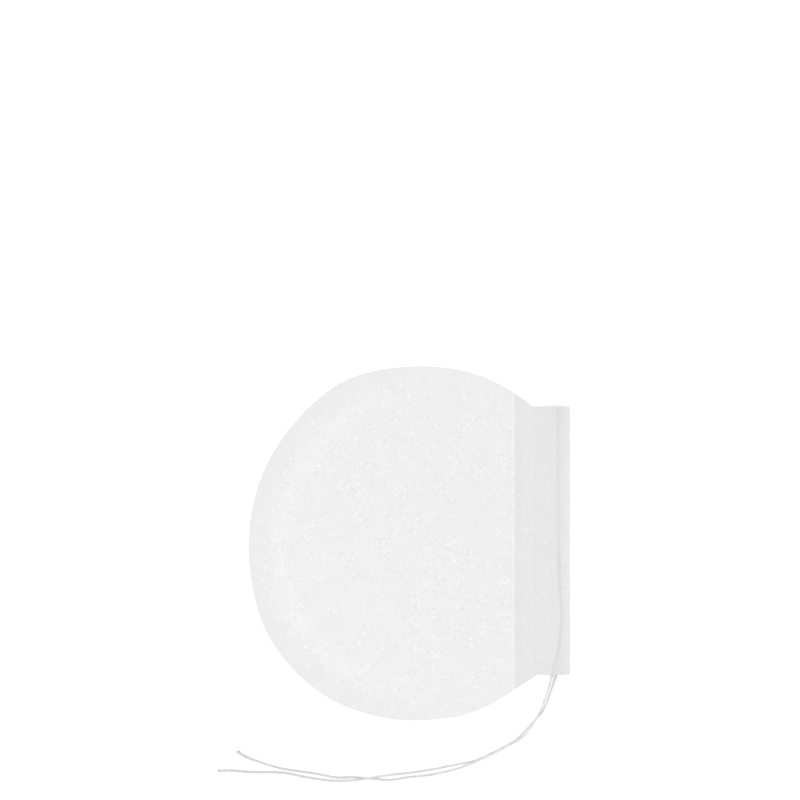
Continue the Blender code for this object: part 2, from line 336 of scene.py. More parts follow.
FIBRE_HEIGHT = 0.03 * MM  # the least that a loose fibre lies over the table
FUZZ_STEP = 0.55 * MM
FUZZ_MARGIN = 6  # steps before the stretch's end without a loose fibre
FUZZ_ROOT = 0.7  # how far out in a ply it starts, as a share of the ply's radius
FUZZ_REACH = (0.08, 0.3)  # how far it stands out of the thread, in millimetres
FUZZ_CURL = 1.6  # radians round the thread, either way
FUZZ_RISE = 1.3  # above 1, it stands out most towards its end
FUZZ_RADII = (0.011, 0.010, 0.009, 0.008, 0.004)  # in millimetres, from its root to its end


def fuzz_runs(first, last, seed):
    """Loose fibre ends that stand out of the thread."""
    draw = random.Random(seed)
    runs = []
    every = round(FUZZ_STEP / RING_STEP)
    root = ply_offset + FUZZ_ROOT * ply_radius
    for start in range(first, last - FUZZ_MARGIN * every, every):
        index = start + draw.randrange(every)
        angle = draw.uniform(0, 2 * math.pi)
        reach = draw.uniform(*FUZZ_REACH) * MM
        lean = draw.choice((1, 1, 2))
        curl = draw.uniform(-FUZZ_CURL, FUZZ_CURL)
        points = []
        for k in range(len(FUZZ_RADII)):
            share = k / (len(FUZZ_RADII) - 1)
            out = root * loosened(index) + reach * share**FUZZ_RISE
            points.append(around(index + lean * k, angle + curl * share, out))
        lowest = min(point.z for point in points)
        if lowest > FIBRE_HEIGHT:
            runs.append((points, [radius * MM for radius in FUZZ_RADII]))
    return runs


FRAY = 1.8 * MM  # how much of a cut end has opened into its fibres
FRAY_FIBRES = 54
FRAY_CORE = 0.15  # the innermost fibre's place, as a share of its ply's radius
FRAY_FLARE = 0.35  # how much wider the brush is at its end
FRAY_TURN = 0.5  # radians by which a fibre goes round its ply
FRAY_RADII = (0.030, 0.030, 0.029, 0.027, 0.024, 0.016)  # in millimetres, from its root to its end


def fray_runs(end, inward, seed):
    """The cut end's fibres, which open out of each ply like a worn brush."""
    draw = random.Random(seed)
    runs = []
    span = round(FRAY / RING_STEP)
    for fibre in range(FRAY_FIBRES):
        ply = fibre % PLIES
        out = draw.uniform(FRAY_CORE, 1.0)
        angle = draw.uniform(0, 2 * math.pi)
        stop = span - draw.randrange(round(TIP / RING_STEP))
        points = []
        for k in range(len(FRAY_RADII)):
            share = k / (len(FRAY_RADII) - 1)
            index = end + inward * round(span - stop * share)
            spread = ply_radius * loosened(index) ** BLOOM * (1.0 + FRAY_FLARE * share**2) * out
            place = around(index, ply_angle(index, ply), ply_offset * loosened(index))
            place += around(index, angle + FRAY_TURN * share, spread) - thread_line[index]
            place.z = max(place.z, FIBRE_HEIGHT)
            points.append(place)
        runs.append((points, [radius * MM for radius in FRAY_RADII]))
    return runs


WELD = 0.0001 * MM


def merged(name, meshes, material):
    """One mesh object out of several meshes."""
    shape = bmesh.new()
    for mesh in meshes:
        shape.from_mesh(mesh)
        bpy.data.meshes.remove(mesh)
    bmesh.ops.remove_doubles(shape, verts=shape.verts, dist=WELD)
    bmesh.ops.recalc_face_normals(shape, faces=shape.faces)
    joined = bpy.data.meshes.new(name)
    shape.to_mesh(joined)
    shape.free()
    joined.materials.clear()
    joined.materials.append(material)
    joined.polygons.foreach_set("material_index", [0] * len(joined.polygons))
    joined.shade_smooth()
    made = bpy.data.objects.new(name, joined)
    bpy.context.scene.collection.objects.link(made)
    return made


def socket_in(tree, socket, value):
    """Join a value to a socket: another node's output, or a number or colour set on the socket."""
    if isinstance(value, bpy.types.NodeSocket):
        tree.links.new(value, socket)
    else:
        socket.default_value = value


def maths(tree, operation, first, second=0.0):
    made = tree.nodes.new("ShaderNodeMath")
    made.operation = operation
    socket_in(tree, made.inputs[0], first)
    socket_in(tree, made.inputs[1], second)
    return made.outputs[0]


def times(tree, first, second):
    return maths(tree, "MULTIPLY", first, second)


def plus(tree, first, second):
    return maths(tree, "ADD", first, second)


def minus(tree, first, second):
    return maths(tree, "SUBTRACT", first, second)


def fade(tree, value, low, high, start=0.0, end=1.0):
    """A smooth step of value, from start at low to end at high."""
    made = tree.nodes.new("ShaderNodeMapRange")
    made.interpolation_type = "SMOOTHSTEP"
    socket_in(tree, made.inputs["Value"], value)
    made.inputs["From Min"].default_value = low
    made.inputs["From Max"].default_value = high
    made.inputs["To Min"].default_value = start
    made.inputs["To Max"].default_value = end
    return made.outputs["Result"]


def cloud(tree, place, size, detail=2.0):
    """Soft noise around 0.5 whose blots are about that size, in metres."""
    made = tree.nodes.new("ShaderNodeTexNoise")
    socket_in(tree, made.inputs["Vector"], place)
    made.inputs["Scale"].default_value = 1 / size
    made.inputs["Detail"].default_value = detail
    return made.outputs["Fac"]


def bump(tree, height, distance):
    made = tree.nodes.new("ShaderNodeBump")
    made.inputs["Strength"].default_value = 1.0
    made.inputs["Distance"].default_value = distance
    tree.links.new(height, made.inputs["Height"])
    return made.outputs["Normal"]


NOISE_RANGE = (0.3, 0.7)  # what soft noise mostly keeps within
COTTON_SHADES = (0.72, 0.85)
SLUB_SIZE = 1.6 * MM
FIBRE_SIZE = 0.06 * MM
SLUB_SHARE = 0.6  # of the cotton's shading, and the rest is its fibres
COTTON_RELIEF = 0.02 * MM
HEM_PAINTED_LIGHT = 0.06  # painted light: how much paler the thread is painted where it leaves the hem, against the shade from the hem and the other strand there
HEM_PAINTED_LIGHT_X = (0.0, 16 * MM)
END_SHADE = -0.03  # and how much greyer its last stretch is
END_SHADE_X = (-16 * MM, -26 * MM)
TIP_PAINTED_LIGHT = 0.07  # painted light: its opened fibres are painted paler again, against the shade they cast on each other
TIP_REACH = (2.2 * MM, 0.8 * MM)


def cotton_thread():
    """Undyed spun cotton: off-white, dull, with darker slubs and a fine lay of fibres, and painted light
    where it leaves the hem and at its opened tips.
    """
    material = bpy.data.materials.new("cotton_thread")
    material.use_nodes = True
    tree = material.node_tree
    shader = tree.nodes["Principled BSDF"]
    place = tree.nodes.new("ShaderNodeTexCoord").outputs["Object"]
    split = tree.nodes.new("ShaderNodeSeparateXYZ")
    tree.links.new(place, split.inputs["Vector"])
    x = split.outputs["X"]
    slubs = cloud(tree, place, SLUB_SIZE)
    lay = cloud(tree, place, FIBRE_SIZE, detail=3.0)
    mixed = plus(tree, times(tree, slubs, SLUB_SHARE), times(tree, lay, 1 - SLUB_SHARE))
    shade = fade(tree, mixed, *NOISE_RANGE, *COTTON_SHADES)
    shade = plus(tree, shade, fade(tree, x, *HEM_PAINTED_LIGHT_X, 0.0, HEM_PAINTED_LIGHT))
    shade = plus(tree, shade, fade(tree, x, *END_SHADE_X, 0.0, END_SHADE))
    for tip in (thread_line[0], thread_line[-1]):
        away = tree.nodes.new("ShaderNodeVectorMath")
        away.operation = "DISTANCE"
        tree.links.new(place, away.inputs[0])
        away.inputs[1].default_value = tip
        shade = plus(tree, shade, fade(tree, away.outputs["Value"], *TIP_REACH, 0.0, TIP_PAINTED_LIGHT))
    tree.links.new(shade, shader.inputs["Base Color"])
    shader.inputs["Roughness"].default_value = 0.9
    shader.inputs["Specular IOR Level"].default_value = 0.25
    shader.inputs["Sheen Weight"].default_value = 0.25
    shader.inputs["Sheen Roughness"].default_value = 0.6
    tree.links.new(bump(tree, lay, COTTON_RELIEF), shader.inputs["Normal"])
    return material


def nearest_index(place):
    return min(range(len(thread_line)), key=lambda i: (thread_line[i] - place).length_squared)


thread_finish = cotton_thread()
back_exit = placed(BACK_HALF)[EXIT_POINT]
front_exit = placed(FRONT_HALF)[EXIT_POINT]
hidden_rings = round(HIDDEN_START / RING_STEP)
tip_rings = round(TIP / RING_STEP)
back_start = nearest_index(back_exit) + hidden_rings
front_start = nearest_index(front_exit) - hidden_rings

drawstring_back_end = merged(
    "drawstring_back_end",
    [
        tubes(ply_runs(tip_rings, back_start), roundness=2),
        tubes(fuzz_runs(tip_rings, back_start, seed=11), roundness=0),
        tubes(fray_runs(0, 1, seed=12), roundness=0),
    ],
    thread_finish,
)
drawstring_front_end = merged(
    "drawstring_front_end",
    [
        tubes(ply_runs(front_start, last_ring - tip_rings), roundness=2),
        tubes(fuzz_runs(front_start, last_ring - tip_rings, seed=21), roundness=0),
        tubes(fray_runs(last_ring, -1, seed=22), roundness=0),
    ],
    thread_finish,
)
drawstring_in_hem = merged(
    "drawstring_in_hem",
    [tubes(ply_runs(back_start + 1, front_start - 1), roundness=1)],
    thread_finish,
)
for piece in (drawstring_back_end, drawstring_front_end, drawstring_in_hem):
    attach(piece, "root")
    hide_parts("drawstring")

# Back sheet
# Thin heat-sealing filter paper, die-cut as a disc with a tab. It lies flat on the table, and its mouth
# edge is turned up over the thread and bonded down in a 5 mm band.
PAPER = 0.12 * MM
BOND_WIDTH = 5.0 * MM
STRING_ZONE = 5.1 * MM  # the part of the channel where the hem keeps its full height
LAYER_GAP = 0.01 * MM  # between layers that lie on each other
FOLD_SHARE = 0.72  # the hems' height at their pressed fold, as a share of that over the thread
FOLD_REACH = 0.36 * MM  # along the sheet, over which the pressed fold turns
CELL = 1.0 * MM
RISE_STEPS = 12
FOLD_STEPS = 12
RIM_STEP = math.radians(1.25)
NEAR_TRIM = 0.27 * MM  # the paper tab's lower end is cut this much short of the CAD's
WEB_PAST_END = 3 * MM  # how much larger the uncut paper is than the die
WEB_PAST_SIDE = 2 * MM
DIE_PAST_FOLD = 2 * MM
DIE_BOTTOM = -5 * MM
DIE_HEIGHT = 15 * MM
SLOT_DEPTH = 2.05 * MM  # how far the slot for the thread's turn reaches into the flaps
SLOT_LENGTH = 4 * MM  # past the sheet's edge too
SLOT_WIDTH = 2.5 * MM

disc_radius = front_high.y
closed_depth = -front_low.x
bond_x = math.sqrt(disc_radius**2 - ((TAB_TOP - TAB_BOTTOM) / 2) ** 2)
raw_edge_x = bond_x - BOND_WIDTH
web_start = -closed_depth - WEB_PAST_END
web_half = disc_radius + WEB_PAST_SIDE
back_ridge = back_high.z
front_ridge = front_high.z


def eased(share):
    """A smooth step from 0 to 1."""
    share = max(0.0, min(1.0, share))
    return (1 - math.cos(math.pi * share)) / 2


def spread_out(start, end):
    """Points from start to end, one cell apart, without the last."""
    count = max(1, round((Vector(end) - Vector(start)).length / CELL))
    return [tuple(Vector(start).lerp(Vector(end), i / count)) for i in range(count)]


def rise(low, high):
    """The side view of a layer that lifts off at the bond, as far as the thread's place."""
    length = mouth_x - STRING_ZONE - bond_x
    return [
        (bond_x + length * i / RISE_STEPS, low + (high - low) * eased(i / RISE_STEPS))
        for i in range(RISE_STEPS + 1)
    ]


def fold(low, high):
    """The mouth fold, from its underside up to its top."""
    return [
        (
            mouth_x - FOLD_REACH * (1 - math.sin(math.pi * i / FOLD_STEPS)),
            (low + high) / 2 - (high - low) / 2 * math.cos(math.pi * i / FOLD_STEPS),
        )
        for i in range(FOLD_STEPS + 1)
    ]


def web(name, side_view, clockwise):
    """A sheet of paper with that side view, wider than the die, whose outer skin the view draws."""
    shape = bmesh.new()
    chain = [shape.verts.new((x, -web_half, z)) for x, z in side_view]
    edges = [shape.edges.new(pair) for pair in zip(chain, chain[1:])]
    rows = round(2 * web_half / CELL)
    bmesh.ops.spin(
        shape,
        geom=[*chain, *edges],
        cent=(0, 0, 0),
        axis=(0, 0, 1),
        dvec=(0, 2 * web_half / rows, 0),
        angle=0,
        steps=rows,
        use_duplicate=False,
    )
    if not clockwise:
        bmesh.ops.reverse_faces(shape, faces=shape.faces)
    bmesh.ops.solidify(shape, geom=shape.faces, thickness=PAPER)
    bmesh.ops.recalc_face_normals(shape, faces=shape.faces)
    mesh = bpy.data.meshes.new(name)
    shape.to_mesh(mesh)
    shape.free()
    made = bpy.data.objects.new(name, mesh)
    bpy.context.scene.collection.objects.link(made)
    return made


def die():
    """The die that cuts both sheets: a disc, a little shallow at the closed end, with the mouth's tab."""
    reach = mouth_x + DIE_PAST_FOLD
    low = TAB_BOTTOM + NEAR_TRIM
    start = math.atan2(TAB_TOP, math.sqrt(disc_radius**2 - TAB_TOP**2))
    end = 2 * math.pi + math.atan2(low, math.sqrt(disc_radius**2 - low**2))
    steps = round((end - start) / RIM_STEP)
    outline = [(reach, low), (reach, TAB_TOP)]
    for i in range(steps + 1):
        angle = start + (end - start) * i / steps
        depth = disc_radius if math.cos(angle) > 0 else closed_depth
        outline.append((depth * math.cos(angle), disc_radius * math.sin(angle)))
    shape = bmesh.new()
    face = shape.faces.new([shape.verts.new((x, y, DIE_BOTTOM)) for x, y in outline])
    raised = bmesh.ops.extrude_face_region(shape, geom=[face])
    upper = [item for item in raised["geom"] if isinstance(item, bmesh.types.BMVert)]
    bmesh.ops.translate(shape, verts=upper, vec=(0, 0, DIE_HEIGHT))
    bmesh.ops.recalc_face_normals(shape, faces=shape.faces)
    mesh = bpy.data.meshes.new("die")
    shape.to_mesh(mesh)
    shape.free()
    return bpy.data.objects.new("die", mesh)


def turn_slot():
    """The notch in both flaps at the far end, where the thread changes from hem to hem."""
    shape = bmesh.new()
    bmesh.ops.create_cube(shape, size=1.0)
    bmesh.ops.scale(shape, vec=(SLOT_WIDTH, SLOT_LENGTH, (FRONT_Z - BACK_Z) * MM), verts=shape.verts)
    middle_y = TAB_TOP - SLOT_DEPTH + SLOT_LENGTH / 2
    middle = (mouth_x - TURN_FROM_MOUTH * MM, middle_y, (FRONT_Z + BACK_Z) / 2 * MM)
    bmesh.ops.translate(shape, verts=shape.verts, vec=middle)
    mesh = bpy.data.meshes.new("turn_slot")
    shape.to_mesh(mesh)
    shape.free()
    return bpy.data.objects.new("turn_slot", mesh)


def cut(piece, cutter, operation):
    """Cut the piece's own mesh with another object, which is thrown away."""
    bpy.context.scene.collection.objects.link(cutter)
    modifier = piece.modifiers.new("cut", "BOOLEAN")
    modifier.operation = operation
    modifier.object = cutter
    modifier.solver = "EXACT"
    bpy.context.view_layer.update()
    mesh = bpy.data.meshes.new_from_object(piece.evaluated_get(bpy.context.evaluated_depsgraph_get()))
    piece.modifiers.clear()
    old = piece.data
    piece.data = mesh
    bpy.data.meshes.remove(old)
    bpy.data.objects.remove(cutter, do_unlink=True)


# Where the sealed disc isn't quite round: the bearing of each bulge in degrees, its height in
# millimetres and its half width in degrees
BULGES = (
    (71, 0.22, 14),
    (115, 0.85, 13),
    (165, -0.2, 22),
    (210, 1.0, 15),
    (236, 1.25, 20),
    (263, 0.22, 8),
    (283, 0.2, 5),
    (305, -0.68, 10),
)


def out_of_round(angle):
    """How far the rim lies outside the round outline at a bearing."""
    bearing = math.degrees(angle) % 360
    return MM * sum(height * math.exp(-(((bearing - at) / width) ** 2)) for at, height, width in BULGES)


def rim_distance(x, y):
    """How far a place on a sheet lies inside the disc's own outline."""
    depth = disc_radius if x > 0 else closed_depth
    out = math.hypot(x / depth, y / disc_radius)
    return (1 - out) * disc_radius


SEAL_WIDTH = 4.5 * MM
PILLOW_HEIGHT = 1.3 * MM
BROAD_WAVE = 19 * MM  # across the larger cockles
BROAD_HEIGHT = 0.22 * MM
SMALL_WAVE = 6.5 * MM
SMALL_HEIGHT = 0.07 * MM
HEM_CALM = 0.75  # how much of the cockles the stiffer hem takes away
CALM_LEAD = 4 * MM  # they begin to flatten this far before the hem
CALM_RUN = 6 * MM
PUCKER_HEIGHT = 0.09 * MM
PUCKERS = 9  # the more, the closer they stand round the rim
PUCKER_RISE = 3 * MM  # from the rim inwards
PUCKER_FULL = 4 * MM
PUCKER_FALL = 7 * MM
PUCKER_STOP = 8 * MM  # before the hem


def pillow(x, y):
    """How far the empty bag's front sheet stands up off the back one."""
    inner = disc_radius - SEAL_WIDTH
    if x < 0:
        out = math.hypot(x / (closed_depth - SEAL_WIDTH), y / inner)
    else:
        out = abs(y) / math.sqrt(inner**2 - min(x, raw_edge_x) ** 2)
    return PILLOW_HEIGHT * max(0.0, 1 - out**2) ** 2 * eased((raw_edge_x - x) / raw_edge_x)


def cockle(x, y):
    """The slight waves of thin paper that has been sealed and handled, always upward off the table."""
    calm = 1 - HEM_CALM * eased((x - raw_edge_x + CALM_LEAD) / CALM_RUN)
    broad = 0.5 + 0.5 * noise.noise(Vector((x / BROAD_WAVE, y / BROAD_WAVE, 2.5)))
    small = 0.5 + 0.5 * noise.noise(Vector((x / SMALL_WAVE, y / SMALL_WAVE, 8.5)))
    return calm * (BROAD_HEIGHT * broad + SMALL_HEIGHT * small)


def pucker(x, y):
    """Short radial puckers just inside the seal."""
    angle = math.atan2(y, x)
    inside = rim_distance(x, y)
    band = eased(inside / PUCKER_RISE) * (1 - eased((inside - PUCKER_FULL) / PUCKER_FALL))
    wave = noise.noise(Vector((math.cos(angle) * PUCKERS, math.sin(angle) * PUCKERS, 4.0)))
    return PUCKER_HEIGHT * band * wave * eased((raw_edge_x - x) / PUCKER_STOP)


PAST_EXIT = 6 * MM  # how far outside the hem the strands are still followed
THREAD_HALF = 0.4 * MM  # the room that the thread keeps beside its middle


def strand_places(half):
    """Where one half of the thread runs in the hem: pairs of its Y and X, from the near end up."""
    inside = [point for point in half if point.y > TAB_BOTTOM - PAST_EXIT]
    return sorted((point.y, point.x) for point in smooth_line(inside))


def strand_x(places, y):
    """The X of a strand where it passes y."""
    if y <= places[0][0]:
        return places[0][1]
    for (low_y, low_x), (high_y, high_x) in zip(places, places[1:]):
        if y <= high_y:
            return low_x + (high_x - low_x) * (y - low_y) / (high_y - low_y)
    return places[-1][1]


front_strand = strand_places(placed(FRONT_HALF))
back_strand = strand_places(placed(BACK_HALF))


def pressed(x, y):
    """How much of their height the hems keep between the thread and the pressed fold."""
    thread_edge = max(strand_x(front_strand, y), strand_x(back_strand, y)) + THREAD_HALF
    return 1 - (1 - FOLD_SHARE) * eased((x - thread_edge) / (mouth_x - thread_edge))


BULGE_CURVE = 3  # above 1, the bulges pull mostly at the rim
BULGE_LEAD = 1 * MM  # they begin to fade this far before the flap
BULGE_RUN = 6 * MM
TAB_RUN = 0.9 * MM
FOLD_WAVE = 0.05 * MM  # how far the mouth fold wanders from a straight line
FOLD_WAVE_LENGTH = 14 * MM
FOLD_WAVE_RUN = 8 * MM


def settle(piece, lift):
    """Lay a flat sheet as the real one lies: pull its rim out of round and let it cockle."""
    shape = bmesh.new()
    shape.from_mesh(piece.data)
    for vertex in shape.verts:
        x, y = vertex.co.x, vertex.co.y
        radius = math.hypot(x, y)
        angle = math.atan2(y, x)
        before_flap = 1 - eased((x - raw_edge_x + BULGE_LEAD) / BULGE_RUN)
        before_tab = 1 - eased((x - bond_x) / TAB_RUN)
        outward = out_of_round(angle) * (radius / disc_radius) ** BULGE_CURVE
        wave = FOLD_WAVE * noise.noise(Vector((0.0, y / FOLD_WAVE_LENGTH, 5.0)))
        fold_wave = wave * eased((x - bond_x) / FOLD_WAVE_RUN)
        vertex.co.x += outward * math.cos(angle) * before_flap + fold_wave
        vertex.co.y += outward * math.sin(angle) * before_tab
        vertex.co.z = vertex.co.z * pressed(x, y) + cockle(x, y) + lift(x, y)
    shape.to_mesh(piece.data)
    shape.free()


def mark(piece):
    """Give each point what the paper's finish needs: its distance from the rim and from both strands."""
    mesh = piece.data
    values = {"rim": [], "from_front_strand": [], "from_back_strand": []}
    for vertex in mesh.vertices:
        x, y, _ = vertex.co
        values["rim"].append(rim_distance(x, y) / MM)
        values["from_front_strand"].append((x - strand_x(front_strand, y)) / MM)
        values["from_back_strand"].append((x - strand_x(back_strand, y)) / MM)
    for name, numbers in values.items():
        mesh.attributes.new(name, "FLOAT", "POINT").data.foreach_set("value", numbers)


FIBRE_BEARINGS = 7
BEARING_SHIFT = (0.13, 0.07)  # in metres, so that no two bearings share their cells
# The room that one fibre or thin place has, along it and across it
LONG_CELL = (4.4 * MM, 0.8 * MM)
FINE_CELL = (6.0 * MM, 0.5 * MM)
THIN_CELL = (3.2 * MM, 1.1 * MM)
FIBRE_CONTRAST = 2.0  # above 1, only a few of them are strong
BEND_SIZE = 2.4 * MM
BEND = (0.7 * MM, 0.7 * MM, 0)
GROUND_SIZE = 0.75 * MM
DRIFT_SIZE = 6 * MM
PATCH_SIZE = 4.0 * MM


def fibres(tree, place, turn, cell, core):
    """Short straight fibres lying in all directions, 1 along their middle, each of its own strength.

    Each has a cell of its own, of which the core says how much it fills.
    """
    total = None
    for i in range(FIBRE_BEARINGS):
        mapping = tree.nodes.new("ShaderNodeMapping")
        mapping.vector_type = "TEXTURE"
        mapping.inputs["Rotation"].default_value = (0, 0, math.pi * i / FIBRE_BEARINGS + turn)
        mapping.inputs["Scale"].default_value = (*cell, 1)
        mapping.inputs["Location"].default_value = (BEARING_SHIFT[0] * i + turn, BEARING_SHIFT[1] * i, 0)
        tree.links.new(place, mapping.inputs["Vector"])
        cells = tree.nodes.new("ShaderNodeTexVoronoi")
        cells.voronoi_dimensions = "2D"
        cells.inputs["Scale"].default_value = 1.0
        tree.links.new(mapping.outputs["Vector"], cells.inputs["Vector"])
        strength = tree.nodes.new("ShaderNodeSeparateColor")
        tree.links.new(cells.outputs["Color"], strength.inputs["Color"])
        line = fade(tree, cells.outputs["Distance"], core, 0.0)
        shown = times(tree, line, maths(tree, "POWER", strength.outputs["Red"], FIBRE_CONTRAST))
        total = shown if total is None else plus(tree, total, shown)
    return total


def attribute(tree, name):
    made = tree.nodes.new("ShaderNodeAttribute")
    made.attribute_name = name
    return made.outputs["Fac"]


def beside(tree, value, line, half_width):
    """1 where the value is that of a line, and 0 past half_width from it."""
    return fade(tree, maths(tree, "ABSOLUTE", minus(tree, value, line)), half_width, 0.0)


PAPER_WHITE = 0.884
BLUE_TINT = 1.004
# How much each thing darkens the paper, as a share of white, and brightens it where it is below 0. Its
# place and width are in millimetres, from the line that it follows where it has one
FOUR_LAYERS = 0.057  # the hem's, in place of the disc's two
HEM_START = (-0.25, 0.05)
RAW_STRIP = 0.021  # beside the flap's cut edge
RAW_STRIP_END = (1.0, 2.4)
# painted highlight where the front sheet comes up over the flap's cut edge
RAW_EDGE_HIGHLIGHT = -0.014
RAW_HIGHLIGHT_PLACE = -0.4
RAW_HIGHLIGHT_HALF = 0.35
RAW_SHADOW = 0.014
RAW_SHADOW_PLACE = -1.15
RAW_SHADOW_HALF = 0.7
BOND_LINE = 0.024
BOND_LINE_HALF = 0.4
BONDED_BAND = -0.009
BAND_END = (-0.2, 0.4)
STRING_CHANNEL = 0.011
NEAR_STRAND = 0.060
NEAR_STRAND_HALF = 0.7
FAR_STRAND = 0.020
FAR_STRAND_HALF = 0.8
FAR_END_STRANDS = 0.7  # how much of the strands shows in the hem's far half
FAR_END_START = (-5.0, 5.0)
# painted light towards the mouth fold, in two steps, against the shade of the fold's rounded side
MOUTH_PAINTED_LIGHT = -0.034
MOUTH_LIGHT_STARTS = ((-2.4, -1.2), (-1.2, -0.2))
RIM_BAND = 0.005
RIM_BAND_START = (7.0, 1.0)
LEFT_SIDE = (8.0, -24.0)
# painted shade: the rim band is darker on the left side, where the front sheet slopes away from the light
LEFT_RIM_PAINTED_SHADE = 0.018
LEFT_STRIP = -0.016  # inside the rim
LEFT_STRIP_PLACE = 8.5
LEFT_STRIP_HALF = 4.5
# painted shade along the disc's cut edge
CUT_EDGE_SHADE = 0.012
CUT_EDGE_START = (0.6, 0.1)
# How much each part of the paper's texture brightens it, and how thick its fibres are in their cells
LONG_FIBRES = 0.13
LONG_CORE = 0.17
FINE_FIBRES = 0.06
FINE_CORE = 0.2
THIN_PLACES = -0.06
THIN_CORE = 0.22
GROUND = 0.115
TEXTURE_MEAN = 0.008
DRIFT = 0.04
# How much of its texture shows: from patch to patch, on the disc, in the hem and in the pressed rim
PATCHINESS = (0.45, 1.5)
DISC_TEXTURE = 0.88
HEM_TEXTURE = 0.5
SEAL_TEXTURE = 0.5
SEAL_TEXTURE_END = (2.0, 4.5)
FIBRE_RELIEF = 0.6  # the long fibres' height, beside the ground's
PAPER_RELIEF = 0.035 * MM


def from_line(tree, value, line, reach, start=0.0, end=1.0):
    """A smooth step of value, over a reach that is counted from a line."""
    return fade(tree, value, line + reach[0], line + reach[1], start, end)


def light_taken(tree, x, y, rim, hem, near_strand, far_strand):
    """How much the paper is darkened along the hem's lines, where the thread shows, and in the rim, with
    painted shade and painted light where the front sheet comes over the flap, at the mouth fold, on the left
    rim and along the cut edge.
    """
    raw = raw_edge_x / MM
    bond = bond_x / MM
    mouth = mouth_x / MM
    left = fade(tree, x, *LEFT_SIDE)
    far_end = fade(tree, y, *FAR_END_START, 1.0, FAR_END_STRANDS)
    near = beside(tree, attribute(tree, near_strand), 0.0, NEAR_STRAND_HALF)
    far = beside(tree, attribute(tree, far_strand), 0.0, FAR_STRAND_HALF)
    shares = [
        times(tree, hem, FOUR_LAYERS),
        times(tree, hem, from_line(tree, x, raw, RAW_STRIP_END, RAW_STRIP, 0.0)),
        times(tree, beside(tree, x, bond, BOND_LINE_HALF), BOND_LINE),
        times(tree, hem, from_line(tree, x, bond, BAND_END, BONDED_BAND, STRING_CHANNEL)),
        times(tree, beside(tree, x, raw + RAW_HIGHLIGHT_PLACE, RAW_HIGHLIGHT_HALF), RAW_EDGE_HIGHLIGHT),
        times(tree, beside(tree, x, raw + RAW_SHADOW_PLACE, RAW_SHADOW_HALF), RAW_SHADOW),
        times(tree, near, times(tree, far_end, NEAR_STRAND)),
        times(tree, far, times(tree, far_end, FAR_STRAND)),
        *[from_line(tree, x, mouth, reach, 0.0, MOUTH_PAINTED_LIGHT) for reach in MOUTH_LIGHT_STARTS],
        times(tree, fade(tree, rim, *RIM_BAND_START), plus(tree, RIM_BAND, times(tree, left, LEFT_RIM_PAINTED_SHADE))),
        times(tree, beside(tree, rim, LEFT_STRIP_PLACE, LEFT_STRIP_HALF), times(tree, left, LEFT_STRIP)),
        fade(tree, rim, *CUT_EDGE_START, 0.0, CUT_EDGE_SHADE),
    ]
    taken = shares[0]
    for share in shares[1:]:
        taken = plus(tree, taken, share)
    return taken


def paper_texture(tree, place, rim, hem):
    """The paper's fibres, thin places and mottled ground: their brightness and their height."""
    # Noise bends the fibres a little
    warp = tree.nodes.new("ShaderNodeTexNoise")
    tree.links.new(place, warp.inputs["Vector"])
    warp.inputs["Scale"].default_value = 1 / BEND_SIZE
    bent = tree.nodes.new("ShaderNodeVectorMath")
    bent.operation = "MULTIPLY_ADD"
    tree.links.new(warp.outputs["Color"], bent.inputs[0])
    bent.inputs[1].default_value = BEND
    tree.links.new(place, bent.inputs[2])
    long_fibres = fibres(tree, bent.outputs["Vector"], 0.0, LONG_CELL, LONG_CORE)
    fine_fibres = fibres(tree, bent.outputs["Vector"], 0.23, FINE_CELL, FINE_CORE)
    thin_places = fibres(tree, bent.outputs["Vector"], 0.11, THIN_CELL, THIN_CORE)
    ground = minus(tree, cloud(tree, place, GROUND_SIZE, detail=4.0), 0.5)
    drift = minus(tree, cloud(tree, place, DRIFT_SIZE), 0.5)
    texture = times(tree, long_fibres, LONG_FIBRES)
    for pattern, strength in ((fine_fibres, FINE_FIBRES), (thin_places, THIN_PLACES), (ground, GROUND)):
        texture = plus(tree, texture, times(tree, pattern, strength))
    texture = minus(tree, texture, TEXTURE_MEAN)

    # It shows more in some patches, and less where the paper is pressed or doubled
    patches = fade(tree, cloud(tree, place, PATCH_SIZE, detail=1.0), *NOISE_RANGE, *PATCHINESS)
    unsealed = fade(tree, rim, *SEAL_TEXTURE_END, SEAL_TEXTURE, 1.0)
    loose = times(tree, unsealed, fade(tree, hem, 0.0, 1.0, DISC_TEXTURE, HEM_TEXTURE))
    texture = times(tree, texture, times(tree, loose, patches))
    texture = plus(tree, texture, times(tree, drift, DRIFT))
    height = plus(tree, times(tree, long_fibres, FIBRE_RELIEF), ground)
    return texture, height


